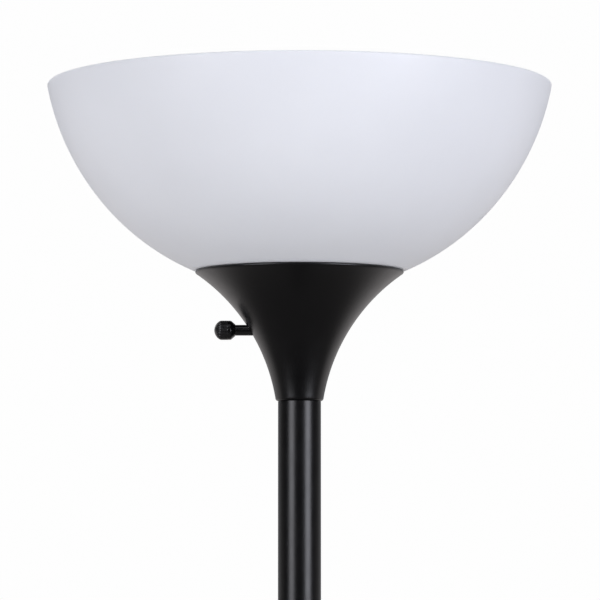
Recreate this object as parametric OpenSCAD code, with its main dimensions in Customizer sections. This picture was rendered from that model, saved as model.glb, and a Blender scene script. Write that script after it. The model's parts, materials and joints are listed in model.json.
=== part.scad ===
// Torchiere floor lamp: a weighted round base, a pole of screwed tube sections,
// a trumpet-shaped cup with a rotary switch knob, and a white bowl shade that
// throws the light of one screw-in bulb up to the ceiling.
//
// Frame: the origin is on the floor under the middle of the base, +Z is up,
// the switch knob points to -X and the mains cord leaves the base at +Y.
// All lengths are in millimetres.

/* [Base] */
// Outer diameter of the round base
base_d = 254; // [240:1:300]
// Height of the middle of the base above the floor
base_h = 30; // [28:1:34]
// Sheet thickness of the base cover
base_sheet = 1; // [0.8:0.1:1.5]
// Thickness of the soft pad that the lamp stands on
pad_t = 3; // [2.5:0.5:4]

/* [Pole] */
// Outer diameter of the pole tubes
pole_d = 25.4; // [25:0.1:28]
// Wall of the pole tubes
pole_wall = 0.8; // [0.6:0.1:1]
// Length of one tube section
section_len = 395.3; // [300:0.1:450]
// Number of tube sections
sections = 4; // [2:1:5]

/* [Cup] */
// Height of the cup, from the top of the pole to the bowl's flat bottom
cup_h = 77.4; // [76:0.1:78.5]
// Radius of the cup's rim
cup_rim_r = 61.8; // [60:0.1:64]
// Radius of the cup's foot on the pole
cup_foot_r = 14; // [13.5:0.1:15]
// Radius of the concave flare between foot and rim
flare_r = 113; // [105:1:130]
// Sheet thickness of the cup
cup_wall = 0.8; // [0.6:0.1:1]

/* [Shade] */
// Radius of the bowl's upper part, a piece of a sphere
bowl_r = 152.7; // [150:0.1:156]
// Radius of the arc of the bowl's lower part, which is a little flatter
bowl_low_r = 145.3; // [143:0.1:147]
// Height of the bowl, from its flat bottom to its rim
bowl_h = 110.9; // [106:0.1:114]
// Wall of the bowl
bowl_wall = 2; // [1.5:0.1:2.5]
// Radius that blends the flat bottom into the bowl
bowl_blend = 10; // [6:1:16]

/* [Knob] */
// Radius of the knob's grip
knob_r = 5.7; // [5:0.05:6]
// Distance from the lamp's axis to the tip of the knob
knob_reach = 50.5; // [49:0.1:54]
// Number of flutes round the grip
knob_flutes = 20; // [12:2:24]

/* [Bulb] */
// Diameter of the bulb's globe
globe_d = 60; // [56:1:64]
// Length of the bulb, from its contact to its top
bulb_len = 110; // [104:1:114]

/* [Hidden] */
$fn = 64;
eps = 0.01;       // overlap that makes cuts and unions clean
fit = 0.05;       // radial play of parts that fit together
play = 0.5;       // room round parts that don't touch

// Thread sizes: lamp nipples are M10x1 tube, drawn without their threads
nipple_r = 5;
nipple_bore_r = 3.3;
nut_af = 17;
nut_h = 5;
lock_h = 1.5;
lock_r = 8.6;

// Base, from the floor up
base_r = base_d / 2;
pad_r = base_r - 5;
skirt_z = pad_t / 2;
dome_r = 800;
shoulder_r = 8;
dome_z = base_h - dome_r;
shoulder_x = base_r - shoulder_r;
shoulder_z = dome_z + sqrt(pow(dome_r - shoulder_r, 2) - pow(shoulder_x, 2));
weight_gap = 1.5;
recess_r = 17;
recess_top = base_h - 8;
channel_w = 9;
channel_top = 11.5;
washer_t = 1.5;
base_nut_z = recess_top - washer_t - lock_h - nut_h;
base_nipple_z = base_nut_z - 1.5;
seat_t = 1;

// Cord gland at the back of the base
gland_z = 7.8;
gland_bore_r = 3.2;
gland_len = 11;
gland_r = 4.5;
gland_flange_r = 6.1;
gland_y = base_r + 1.6;

// Pole
pole_r = pole_d / 2;
tube_r = pole_r - pole_wall;
pole_z = base_h + seat_t;
pole_top = pole_z + sections * section_len;
insert_h = 12;
insert_r = tube_r - fit;
joint_reach = 10;
edge = 0.3;

// Cup: the flare's arc starts at the foot's outer point and ends tangent to the rim's bead
cup_z = pole_top;
bead_r = 1.1;
bead_x = cup_rim_r - bead_r;
bead_z = cup_z + cup_h - fit - bead_r;
chord = norm([bead_x - cup_foot_r, bead_z - cup_z]);
chord_a = atan2(bead_z - cup_z, bead_x - cup_foot_r);
flare_along = (pow(chord, 2) + pow(flare_r, 2) - pow(flare_r + bead_r, 2)) / (2 * chord);
flare_off = sqrt(pow(flare_r, 2) - pow(flare_along, 2));
flare_x = cup_foot_r + flare_along * cos(chord_a) + flare_off * sin(chord_a);
flare_z = cup_z + flare_along * sin(chord_a) - flare_off * cos(chord_a);
cup_floor_t = 1;

// Bowl: a piece of a sphere, tangent to a flatter arc, blended into a flat bottom
bowl_z = cup_z + cup_h;
bowl_top = bowl_z + bowl_h;
rim_drop = 27.7;
bowl_mid_z = bowl_top + rim_drop;
low_angle = -40;
low_x = (bowl_r - bowl_low_r) * cos(low_angle);
low_z = bowl_mid_z + (bowl_r - bowl_low_r) * sin(low_angle);
blend_z = bowl_z + bowl_blend;
blend_x = low_x + sqrt(pow(bowl_low_r - bowl_blend, 2) - pow(low_z - blend_z, 2));

// Socket, from the cup's floor up
knob_z = cup_z + 42;
nut_z = cup_z + cup_floor_t + lock_h;
cap_z = nut_z + nut_h + play;
cap_hub_r = 8;
cap_hub_h = 8;
cap_lip_r = 18.4;
cap_cone_z = cap_z + 19;
cap_top = cap_cone_z + 6;
body_z = cap_cone_z + 2.5;
body_floor_t = 2.5;
body_r = 17.2;
chamber_r = 13.4;
shell_room_r = 14.6;
ledge_z = cup_z + 52;
plate_t = 2.5;
socket_top = bowl_z + 8;
thread_r = 17.5;
flange_r = 22;
shell_z = ledge_z + plate_t + 0.1;
shell_h = 28;
contact_top = shell_z + 3;
shade_hole_r = 17.8;
ring_z = bowl_z + bowl_wall + 0.1;
ring_h = 5;
ring_r = 24.5;

// Wires of the inner lead
core_r = 1.35;
core_off = 1.25;
lead_z = gland_z;
lead_bend_r = 6.5;
lead_back_y = gland_y - gland_len - 6;
lead_top = cap_z + 13;
wire_r = 0.9;
wire_bend_r = 4;
wire_y = 2 * wire_bend_r;
terminal_t = 0.8;

// Switch
spindle_r = 1.5;
cam_r = 4.8;
stem_r = 3.2;
stem_hole_r = 4;
leaf_w = 5;
leaf_z = knob_z - 6;

// Knob, from its tip towards the lamp's axis
knob_dome_r = 6.2;
knob_mid_x = knob_reach - knob_dome_r;
knob_grip_x = knob_mid_x + sqrt(pow(knob_dome_r, 2) - pow(knob_r, 2));
knob_collar_x = knob_reach - 8.2;
knob_cone_x = knob_reach - 9.9;
knob_end_x = knob_reach - 12.3;

// Bulb
foot_z = contact_top + 0.1;
cap_r = 13.05;
foot_h = 1.2;
cap_start_z = foot_z + 4;
cap_lip_in = 10;
housing_z = socket_top + play;
globe_r = globe_d / 2;
globe_mid_z = foot_z + bulb_len - globe_r;
globe_cut_z = globe_mid_z - 20;
globe_cut_r = sqrt(pow(globe_r, 2) - pow(globe_mid_z - globe_cut_z, 2));
globe_wall = 1.2;

SECTION_NODES = [for (kind = ["pole_section_", "lower_insert_", "upper_insert_"])
                 for (i = [1:sections]) str(kind, i)];
JOINT_NODES = [for (i = [1:sections - 1]) str("joint_nipple_", i)];

// ---- Shared shapes ----

// A round tube standing on z
module tube(r, bore, z, h) {
    difference() {
        translate([0, 0, z]) cylinder(r = r, h = h);
        translate([0, 0, z - eps]) cylinder(r = bore, h = h + 2 * eps);
    }
}

// A hexagon nut standing on z
module hex_nut(z) {
    difference() {
        translate([0, 0, z]) cylinder(r = nut_af / sqrt(3), h = nut_h, $fn = 6);
        translate([0, 0, z - eps]) cylinder(r = nipple_r + fit, h = nut_h + 2 * eps);
    }
}

// A split spring washer standing on z
module split_washer(z) {
    difference() {
        tube(lock_r, nipple_r + 0.2, z, lock_h);
        translate([nipple_r, -0.6, z - eps]) cube([lock_r, 1.2, lock_h + 2 * eps]);
    }
}

// A length of threaded tube between two heights
module nipple(z0, z1) {
    tube(nipple_r, nipple_bore_r, z0, z1 - z0);
}

// A cylinder along -X, between two distances from the lamp's axis, at knob height
module side_rod(r, x0, x1) {
    translate([-x0, 0, knob_z]) rotate([0, -90, 0]) cylinder(r = r, h = x1 - x0);
}

// ---- Base ----

// Half outline of the base, inset by t: flat skirt, round shoulder, low dome
module base_outline(t) {
    intersection() {
        translate([0, dome_z]) circle(r = dome_r - t, $fn = 400);
        translate([0, skirt_z]) square([shoulder_x, base_h]);
    }
    translate([shoulder_x, shoulder_z]) circle(r = shoulder_r - t);
    translate([shoulder_x - eps, skirt_z]) square([shoulder_r - t + eps, shoulder_z - skirt_z]);
}

module base_solid(t) {
    rotate_extrude($fn = 120) intersection() {
        base_outline(t);
        square([base_r, base_h + eps]);
    }
}

module base_pad() {
    color("#26262a") tube(pad_r, recess_r + 5, 0, pad_t);
}

module base_cover() {
    color("#17171a") difference() {
        base_solid(0);
        base_solid(base_sheet);
        translate([0, 0, skirt_z - 1]) cylinder(r = base_r - base_sheet, h = 2);
        translate([0, 0, base_h / 2]) cylinder(r = nipple_r + 0.3, h = base_h);
        translate([0, base_r - 10, gland_z]) rotate([-90, 0, 0]) cylinder(r = gland_r + 0.1, h = 20);
    }
}

module base_weight() {
    color("#8d8a84") difference() {
        intersection() {
            base_solid(weight_gap);
            translate([0, 0, pad_t]) cylinder(r = base_r, h = base_h);
        }
        cylinder(r = nipple_r + 0.4, h = base_h + 1);
        translate([0, 0, pad_t - eps]) cylinder(r = recess_r, h = recess_top - pad_t + eps);
        translate([-channel_w / 2, 0, pad_t - eps]) cube([channel_w, base_r, channel_top - pad_t]);
        translate([-8, base_r - 15, pad_t - eps]) cube([16, 20, gland_z + 6.5 - pad_t]);
    }
}

module base_nipple() {
    color("#b9bcc0") nipple(base_nipple_z, pole_z + joint_reach);
}

module base_washer() {
    color("#b9bcc0") tube(12, nipple_r + 0.2, recess_top - washer_t, washer_t);
}

module base_lock_washer() {
    color("#b9bcc0") split_washer(recess_top - washer_t - lock_h);
}

module base_nut() {
    color("#b9bcc0") hex_nut(base_nut_z);
}

module seat_washer() {
    color("#1b1b1d") tube(pole_r, nipple_r + 0.2, base_h, seat_t);
}

// A moulded bushing with a flange outside and a snap collar inside the base's skirt
module cord_gland() {
    color("#141416") translate([0, gland_y, gland_z]) rotate([90, 0, 0]) difference() {
        union() {
            cylinder(r = gland_r, h = gland_len);
            cylinder(r = gland_flange_r, h = 1.5);
            translate([0, 0, 3.2]) cylinder(r = 5.4, h = 2);
        }
        translate([0, 0, -eps]) cylinder(r = gland_bore_r, h = gland_len + 2 * eps);
    }
}

// ---- Pole ----

// One tube with its edges broken at both ends
module pole_section(i) {
    z = pole_z + (i - 1) * section_len;
    color("#17171a") rotate_extrude() polygon([
        [tube_r, z], [pole_r - edge, z], [pole_r, z + edge],
        [pole_r, z + section_len - edge], [pole_r - edge, z + section_len], [tube_r, z + section_len]
    ]);
}

// Threaded plugs held in the lower and upper end of a tube
module lower_insert(i) {
    color("#a9acb0") tube(insert_r, nipple_r + fit, pole_z + (i - 1) * section_len, insert_h);
}

module upper_insert(i) {
    color("#a9acb0") tube(insert_r, nipple_r + fit, pole_z + i * section_len - insert_h, insert_h);
}

// The nipple that joins tube i to the next one
module joint_nipple(i) {
    z = pole_z + i * section_len;
    color("#b9bcc0") nipple(z - joint_reach, z + joint_reach);
}

module head_nipple() {
    color("#b9bcc0") nipple(pole_top - joint_reach, cap_z + 10);
}

// ---- Cup ----

// Spun sheet: a flat floor on the pole, a concave flare and a rolled rim
module cup() {
    color("#141416") difference() {
        rotate_extrude($fn = 120) {
            difference() {
                intersection() {
                    translate([flare_x, flare_z]) circle(r = flare_r + cup_wall, $fn = 300);
                    translate([0, cup_z]) square([bead_x, bead_z - cup_z]);
                }
                translate([flare_x, flare_z]) circle(r = flare_r, $fn = 300);
            }
            translate([bead_x, bead_z]) circle(r = bead_r);
            translate([nipple_r + 0.3, cup_z]) square([cup_foot_r - nipple_r - 0.8, cup_floor_t]);
        }
        side_rod(stem_hole_r, 20, 40);
    }
}

module head_lock_washer() {
    color("#b9bcc0") split_washer(cup_z + cup_floor_t);
}

module head_nut() {
    color("#b9bcc0") hex_nut(nut_z);
}

// ---- Shade ----

// Half outline of the bowl, inset by t, up to the height top
module bowl_outline(t, top) {
    high_z = bowl_mid_z + (bowl_r - t) * sin(low_angle);
    tangent_z = low_z - (low_z - blend_z) * (bowl_low_r - t) / (bowl_low_r - bowl_blend);
    intersection() {
        translate([0, bowl_mid_z]) circle(r = bowl_r - t, $fn = 400);
        translate([0, high_z]) square([bowl_r, top - high_z]);
    }
    intersection() {
        translate([low_x, low_z]) circle(r = bowl_low_r - t, $fn = 400);
        translate([0, tangent_z]) square([bowl_r, high_z + eps - tangent_z]);
    }
    translate([blend_x, blend_z]) circle(r = bowl_blend - t);
    translate([0, bowl_z + t]) square([blend_x, bowl_blend - t]);
}

module shade() {
    color("#e9ebf0") difference() {
        rotate_extrude($fn = 120) bowl_outline(0, bowl_top);
        rotate_extrude($fn = 120) bowl_outline(bowl_wall, bowl_top + 1);
        translate([0, 0, bowl_z - 1]) cylinder(r = shade_hole_r, h = bowl_wall + 2);
    }
}

// The ring that screws onto the socket and clamps the bowl
module shade_ring() {
    grips = 24;
    color("#e4e4e2") difference() {
        tube(ring_r, thread_r + 0.1, ring_z, ring_h);
        for (i = [0:grips - 1]) rotate(i * 360 / grips)
            translate([ring_r + 0.6, 0, ring_z + 1.5]) cylinder(r = 1.4, h = ring_h);
    }
}

// ---- Socket ----

// Pressed cap: a hub on the nipple, a cone and a lip round the socket body
module socket_cap() {
    t = 1.2;
    color("#b08d3e") difference() {
        rotate_extrude() polygon([
            [nipple_r + fit, cap_z], [cap_hub_r, cap_z], [cap_hub_r, cap_z + cap_hub_h],
            [cap_lip_r, cap_cone_z], [cap_lip_r, cap_top], [body_r + 0.1, cap_top],
            [body_r + 0.1, cap_cone_z + t], [cap_hub_r, cap_z + cap_hub_h + 2 * t],
            [nipple_r + fit, cap_z + cap_hub_h + 2 * t]
        ]);
        translate([0, 0, cap_z + 4]) rotate([-90, 0, 0]) cylinder(r = 2 + fit, h = 12);
    }
}

module cap_set_screw() {
    color("#b9bcc0") translate([0, nipple_r + 0.1, cap_z + 4]) rotate([-90, 0, 0]) difference() {
        cylinder(r = 2, h = 5);
        translate([-2.1, -0.4, 4]) cube([4.2, 0.8, 2]);
    }
}

// Moulded body: a floor with two wire holes, a switch room, a ledge for the
// plate, a flange under the bowl and the outer thread for the ring
module socket_body() {
    color("#1c1a19") difference() {
        union() {
            translate([0, 0, body_z]) cylinder(r = body_r, h = socket_top - body_z);
            translate([0, 0, bowl_z - 2.5]) cylinder(r = flange_r, h = 2.4);
            translate([0, 0, bowl_z - 0.2]) cylinder(r = thread_r, h = socket_top - bowl_z + 0.2);
        }
        translate([0, 0, body_z + body_floor_t]) cylinder(r = chamber_r, h = 60);
        translate([0, 0, ledge_z]) cylinder(r = shell_room_r, h = 60);
        for (side = [-1, 1])
            translate([side * core_off, side * wire_y, body_z - 1]) cylinder(r = wire_r + 0.4, h = 5);
        side_rod(spindle_r + fit, 10, 20);
    }
}

// Insulating plate that carries the screw shell and the middle contact
module socket_plate() {
    color("#d8d2c4") difference() {
        translate([0, 0, ledge_z]) cylinder(r = shell_room_r - 0.1, h = plate_t);
        for (side = [-1, 1]) {
            translate([side * 10.5, 0, ledge_z - 1]) cylinder(r = 1.25, h = 5);
            translate([side * (core_off + 3.8), side * wire_y, ledge_z - 1]) cylinder(r = 1.25, h = 5);
        }
    }
}

// Screw shell with an inner lip that the rivets hold
module socket_shell() {
    color("#c9a227") difference() {
        union() {
            tube(14, 13.5, shell_z, shell_h);
            tube(14, 8.5, shell_z, 0.5);
        }
        for (side = [-1, 1])
            translate([side * 10.5, 0, shell_z - 1]) cylinder(r = 1.25, h = 3);
    }
}

// Middle contact: a bent leaf with a riveted foot
module socket_contact() {
    color("#c9a227") {
        translate([-3, -2.5, shell_z]) cube([9, 5, 0.5]);
        translate([-3, -2.5, shell_z]) cube([0.5, 5, contact_top - shell_z]);
        translate([-3, -2.5, contact_top - 0.5]) cube([6.5, 5, 0.5]);
    }
}

module socket_rivets() {
    color("#c9a227") for (side = [-1, 1]) translate([side * 10.5, 0, 0]) {
        translate([0, 0, ledge_z - 0.5]) cylinder(r = 1.2, h = shell_z - ledge_z + 1.2);
        translate([0, 0, ledge_z - 0.9]) cylinder(r = 2, h = 0.8);
        translate([0, 0, shell_z + 0.6]) cylinder(r = 2, h = 0.8);
    }
}

// Brass plates under the insulating plate, one for each wire
module terminal_plates() {
    color("#c9a227") for (side = [-1, 1]) difference() {
        translate([side * (core_off + 1.6) - 4.6, side * wire_y - 2.6, ledge_z - terminal_t - 0.1])
            cube([9.2, 5.2, terminal_t]);
        translate([side * (core_off + 3.8), side * wire_y, ledge_z - 3]) cylinder(r = 1.25, h = 5);
    }
}

module terminal_screws() {
    head_z = ledge_z - terminal_t - 0.15;
    color("#c9a227") for (side = [-1, 1]) translate([side * (core_off + 3.8), side * wire_y, 0]) {
        difference() {
            translate([0, 0, head_z - 1.8]) cylinder(r = 2.6, h = 1.8);
            translate([-3, -0.4, head_z - 2]) cube([6, 0.8, 0.9]);
        }
        translate([0, 0, head_z - eps]) cylinder(r = 1.2, h = terminal_t + plate_t);
    }
}

// ---- Inner lead ----

// Section of the two-core lead: two round cores with a web between them
module lead_section() {
    for (side = [-1, 1]) translate([side * core_off, 0]) circle(r = core_r);
    square([2 * core_off, 1.2], center = true);
}

// From behind the gland along the base, then up through every tube to the socket
module inner_lead() {
    color("#5a4a36") {
        translate([0, lead_back_y, lead_z]) rotate([90, 0, 0])
            linear_extrude(lead_back_y - lead_bend_r) lead_section();
        translate([0, lead_bend_r, lead_z + lead_bend_r]) rotate([180, 90, 0])
            rotate_extrude(angle = 90) translate([lead_bend_r, 0]) rotate(90) lead_section();
        translate([0, 0, lead_z + lead_bend_r]) linear_extrude(lead_top - lead_z - lead_bend_r)
            lead_section();
    }
}

// One insulated wire: an S from the lead's core out to its hole, then up to its plate
module wire(side) {
    end_z = ledge_z - terminal_t - 0.2;
    translate([side * core_off, 0, lead_top]) {
        translate([0, side * wire_bend_r, 0]) rotate([90, 0, -side * 90])
            rotate_extrude(angle = 90) translate([wire_bend_r, 0]) circle(r = wire_r);
        translate([0, side * wire_bend_r, 2 * wire_bend_r]) rotate([90, 0, side * 90])
            rotate(-90) rotate_extrude(angle = 90) translate([wire_bend_r, 0]) circle(r = wire_r);
        translate([0, side * wire_y, 2 * wire_bend_r])
            cylinder(r = wire_r, h = end_z - lead_top - 2 * wire_bend_r);
    }
}

module lead_live() {
    color("#2a2a2a") wire(-1);
}

module lead_neutral() {
    color("#dddddd") wire(1);
}

// ---- Switch and knob: these turn together ----

// A fixed leaf under the cam and the stud that it closes on
module switch_contacts() {
    floor_z = body_z + body_floor_t;
    color("#c9a227") {
        translate([4.5, -leaf_w / 2, floor_z]) cube([3, leaf_w, leaf_z - floor_z + 0.6]);
        translate([-5, -leaf_w / 2, leaf_z]) cube([10, leaf_w, 0.6]);
        translate([-4, 0, floor_z]) cylinder(r = 1.6, h = leaf_z - 0.5 - floor_z);
    }
}

module knob() {
    color("#0e0e10") difference() {
        union() {
            intersection() {
                translate([-knob_mid_x, 0, knob_z]) sphere(r = knob_dome_r);
                side_rod(knob_dome_r, knob_grip_x, knob_reach + 1);
            }
            side_rod(knob_r, knob_cone_x, knob_grip_x);
            side_rod(knob_r - 1, knob_cone_x, knob_grip_x + 1);
            translate([-knob_cone_x, 0, knob_z]) rotate([0, 90, 0])
                cylinder(r1 = knob_r, r2 = stem_r + 0.4, h = knob_cone_x - knob_end_x);
        }
        for (i = [0:knob_flutes - 1])
            translate([0, 0, knob_z]) rotate([i * 360 / knob_flutes, 0, 0]) translate([0, 0, knob_r + 0.25 - knob_z])
                side_rod(0.5, knob_collar_x, knob_reach);
        side_rod(stem_r + fit, knob_end_x - 1, knob_end_x + 3);
        side_rod(spindle_r + fit, knob_end_x, knob_end_x + 7);
    }
}

// Moulded sleeve that carries the knob out through the cup
module knob_stem() {
    color("#0e0e10") difference() {
        side_rod(stem_r, body_r + 0.5, knob_end_x + 2.9);
        side_rod(spindle_r + fit, body_r, knob_reach);
    }
}

module switch_spindle() {
    color("#c9a227") side_rod(spindle_r, -3, knob_end_x + 6.5);
}

// Lobed cam on the spindle's end
module switch_cam() {
    color("#e6e0d2") difference() {
        intersection() {
            union() {
                side_rod(3.3, -2, 4);
                translate([-4, -cam_r, knob_z - 1.8]) cube([6, 2 * cam_r, 3.6]);
                translate([-4, -1.8, knob_z - cam_r]) cube([6, 3.6, 2 * cam_r]);
            }
            side_rod(cam_r, -2, 4);
        }
        side_rod(spindle_r + fit, -3, 5);
    }
}

// ---- Bulb ----

module bulb_foot() {
    color("#b9bcc0") translate([0, 0, foot_z]) cylinder(r = 4.8, h = foot_h);
}

module bulb_insulator() {
    color("#141416") translate([0, 0, foot_z + foot_h + fit])
        cylinder(r1 = 6, r2 = cap_lip_in, h = cap_start_z - foot_z - foot_h - 2 * fit);
}

// Thin metal cap, drawn in at its foot to hold the insulator
module bulb_cap() {
    t = 0.4;
    color("#c8cacd") rotate_extrude() polygon([
        [cap_lip_in, cap_start_z], [cap_lip_in + 0.6, cap_start_z], [cap_r, cap_start_z + 2.2],
        [cap_r, housing_z], [cap_r - t, housing_z], [cap_r - t, cap_start_z + 2.2 + t / 2],
        [cap_lip_in, cap_start_z + t]
    ]);
}

// Moulded housing: a shell that widens from the cap to the globe
module bulb_housing() {
    color("#f2f2f0") rotate_extrude() polygon([
        [cap_r - 0.5, housing_z - 4], [cap_r - 0.5, housing_z], [14.5, housing_z],
        [14.8, housing_z + 3], [globe_cut_r - 1.5, globe_cut_z - 8], [globe_cut_r, globe_cut_z],
        [globe_cut_r - globe_wall, globe_cut_z], [globe_cut_r - 3, globe_cut_z - 7.5],
        [12.6, housing_z + 3], [cap_r - 2, housing_z - 4]
    ]);
}

module bulb_led_plate() {
    color("#e8e8e8") {
        translate([0, 0, globe_cut_z - 2.2]) cylinder(r = globe_cut_r - 1.9, h = 1.5);
        for (i = [0:9]) rotate(i * 36) translate([13, -1.4, globe_cut_z - 0.75]) cube([2.8, 2.8, 0.6]);
    }
}

module bulb_globe() {
    color("#fbfbf8") difference() {
        translate([0, 0, globe_mid_z]) sphere(r = globe_r);
        translate([0, 0, globe_mid_z]) sphere(r = globe_r - globe_wall);
        translate([0, 0, globe_cut_z + fit - globe_d]) cylinder(r = globe_r, h = globe_d);
    }
}

// ---- Output ----

base_pad();
base_cover();
base_weight();
base_nipple();
base_washer();
base_lock_washer();
base_nut();
seat_washer();
cord_gland();
for (i = [1:sections]) {
    pole_section(i);
    lower_insert(i);
    upper_insert(i);
}
for (i = [1:sections - 1]) {
    joint_nipple(i);
}
head_nipple();
cup();
head_lock_washer();
head_nut();
shade();
shade_ring();
socket_cap();
cap_set_screw();
socket_body();
socket_plate();
socket_shell();
socket_contact();
socket_rivets();
terminal_plates();
terminal_screws();
switch_contacts();
inner_lead();
lead_live();
lead_neutral();
knob();
knob_stem();
switch_spindle();
switch_cam();
bulb_foot();
bulb_insulator();
bulb_cap();
bulb_housing();
bulb_led_plate();
bulb_globe();
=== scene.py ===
"""Looks of the torchiere floor lamp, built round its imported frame.

The frame gives the place of every part. This script makes the spun, drawn and
moulded surfaces that show, gives each part its finish, and sets up a plain
studio. All lengths are in metres, in the frame's own axes: +Z up, the switch
knob towards -X, the cord gland towards +Y.
"""

import json
import math

import bmesh
import bpy
from mathutils import Matrix, Vector

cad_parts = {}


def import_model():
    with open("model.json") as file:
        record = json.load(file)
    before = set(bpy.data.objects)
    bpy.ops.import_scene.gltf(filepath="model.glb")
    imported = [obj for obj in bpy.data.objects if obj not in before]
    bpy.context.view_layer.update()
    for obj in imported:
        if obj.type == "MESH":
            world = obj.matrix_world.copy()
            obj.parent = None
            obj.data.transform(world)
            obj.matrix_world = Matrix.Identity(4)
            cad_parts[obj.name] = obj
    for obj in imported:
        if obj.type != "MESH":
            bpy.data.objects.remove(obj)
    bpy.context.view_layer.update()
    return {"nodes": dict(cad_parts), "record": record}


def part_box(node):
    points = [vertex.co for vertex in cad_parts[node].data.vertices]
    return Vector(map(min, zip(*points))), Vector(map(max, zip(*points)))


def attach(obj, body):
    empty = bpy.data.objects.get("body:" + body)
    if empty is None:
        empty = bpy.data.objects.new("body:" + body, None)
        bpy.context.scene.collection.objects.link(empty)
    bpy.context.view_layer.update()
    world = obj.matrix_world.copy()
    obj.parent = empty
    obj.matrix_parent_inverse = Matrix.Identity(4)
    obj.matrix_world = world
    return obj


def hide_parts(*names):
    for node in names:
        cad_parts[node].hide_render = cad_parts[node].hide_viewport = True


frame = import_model()

MM = 0.001
SAME_POINT = 0.002 * MM


# ---------------------------------------------------------------- sizes

def low(node):
    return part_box(node)[0]


def high(node):
    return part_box(node)[1]


SECTIONS = sum(1 for name in frame["nodes"] if name.startswith("pole_section_"))

RIM_Z = high("shade").z
BOWL_Z = low("shade").z
BOWL_WALL = 2 * MM
BOWL_R = 152.7 * MM
BOWL_RIM_DROP = 27.7 * MM
BOWL_LOW_R = 145.3 * MM
BOWL_LOW_ANGLE = -40
BOWL_BLEND = 10 * MM
BOWL_HOLE_R = 17.8 * MM

CUP_Z = low("cup").z
CUP_TOP = high("cup").z
CUP_RIM_R = high("cup").x
CUP_WALL = 0.8 * MM
CUP_FOOT_R = 14 * MM
CUP_HOLE_R = high("head_nipple").x + 0.3 * MM
CUP_BEAD_R = 0.9 * MM
FLARE_R = 113 * MM
STEM_HOLE_R = 4 * MM

BASE_R = high("base_cover").x
BASE_TOP = high("base_cover").z

TUBE_WALL = 0.8 * MM

KNOB_Z = (low("switch_spindle").z + high("switch_spindle").z) / 2
KNOB_TIP = -low("knob").x
KNOB_R = 5.7 * MM
COLLAR_X = KNOB_TIP - 8.2 * MM
STEM_R = high("knob_stem").y

# Radiance of the studio, 1 being the white of the picture
FLOOR_FRONT = 0.04
FLOOR_UNDER = 0.13
FLOOR_BACK = 0.68
ROOM_FRONT = 0.012
ROOM_BACK = 0.3
FLOOR_GLOW = 0.62

# The globe's centre is 20 mm above its cut edge
GLOBE_Z = low("bulb_globe").z + 20 * MM
GLOBE_R = high("bulb_globe").z - GLOBE_Z
THREAD_PITCH = 25.4 * MM / 7

# Where the camera stands, and the height that it looks at
CAMERA_SIDE = 0.0003
CAMERA_DISTANCE = 2.309
CAMERA_Z = 1.494
CAMERA_AIM_Z = 1.6722
CAMERA_LENS_MM = 234.3

# Faces that meet at more than this angle keep a crisp edge
HARD_EDGE_DEG = 35


# ---------------------------------------------------------------- nodes

def add(tree, kind, values=None, **settings):
    """Adds a node with its settings and links.

    values gives each input a number, an output, or a node, which stands for its first live output.
    """
    node = tree.nodes.new(kind)
    for name, value in settings.items():
        setattr(node, name, value)
    for name, value in (values or {}).items():
        if isinstance(value, bpy.types.Node):
            value = next(socket for socket in value.outputs if socket.enabled)
        if isinstance(value, bpy.types.NodeSocket):
            tree.links.new(value, node.inputs[name])
        else:
            node.inputs[name].default_value = value
    return node


def linear(code):
    """An sRGB hex colour as the linear RGBA that shaders take."""
    parts = [int(code[i:i + 2], 16) / 255 for i in (1, 3, 5)]
    return (*(p / 12.92 if p <= 0.04045 else ((p + 0.055) / 1.055) ** 2.4 for p in parts), 1)


class Finish:
    """A material with one principled shader, and the patterns that finishes share."""

    def __init__(self, name, **sockets):
        self.material = bpy.data.materials.new(name)
        self.material.use_nodes = True
        self.tree = self.material.node_tree
        self.tree.nodes.clear()
        values = {label.replace("_", " "): value for label, value in sockets.items()}
        self.shader = self.add("ShaderNodeBsdfPrincipled", values)
        self.add("ShaderNodeOutputMaterial", {"Surface": self.shader})
        self.place = self.add("ShaderNodeTexCoord").outputs["Object"]

    def add(self, kind, values=None, **settings):
        return add(self.tree, kind, values, **settings)

    def clouds(self, size, first=0.0, last=1.0, detail=3.0, stretch=(1, 1, 1)):
        """Noise of a real size, spread between two values."""
        spot = self.add("ShaderNodeMapping", {"Vector": self.place, "Scale": stretch})
        noise = self.add("ShaderNodeTexNoise", {"Vector": spot, "Scale": 1 / size, "Detail": detail})
        return self.add("ShaderNodeMapRange", {
            "Value": noise, "From Min": 0.3, "From Max": 0.7, "To Min": first, "To Max": last})

    def dress(self, tint, rough, *reliefs):
        """Gives the surface its colour, roughness and relief, and returns the material.

        tint is a pattern and the two colours that it moves between, each a hex code or a node;
        rough is a pattern; each relief is a pattern and its real depth, over the one before it.
        """
        pattern, *ends = tint
        first, last = (linear(end) if isinstance(end, str) else end for end in ends)
        colour = self.add("ShaderNodeMix", {"Factor": pattern, 6: first, 7: last}, data_type="RGBA")
        self.tree.links.new(colour.outputs[2], self.shader.inputs["Base Color"])
        self.tree.links.new(rough.outputs[0], self.shader.inputs["Roughness"])
        bump = None
        for pattern, depth in reliefs:
            values = {"Height": pattern, "Distance": depth}
            if bump:
                values["Normal"] = bump
            bump = self.add("ShaderNodeBump", values)
        self.tree.links.new(bump.outputs[0], self.shader.inputs["Normal"])
        return self.material


# ---------------------------------------------------------------- finishes

def powder_coat():
    """Black polyester powder coat, baked on steel: deep semi-gloss black with a soft ripple.

    Orange peel is about 3 mm across and a few microns deep; the grain in it is 0.35 mm.
    """
    coat = Finish("powder_coat_semigloss_black", Specular_IOR_Level=0.62)
    return coat.dress((coat.clouds(40 * MM), "#010102", "#030304"), coat.clouds(9 * MM, 0.29, 0.33),
                      (coat.clouds(3 * MM, detail=1.0), 0.006 * MM),
                      (coat.clouds(0.35 * MM, detail=1.0), 0.002 * MM))


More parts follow.
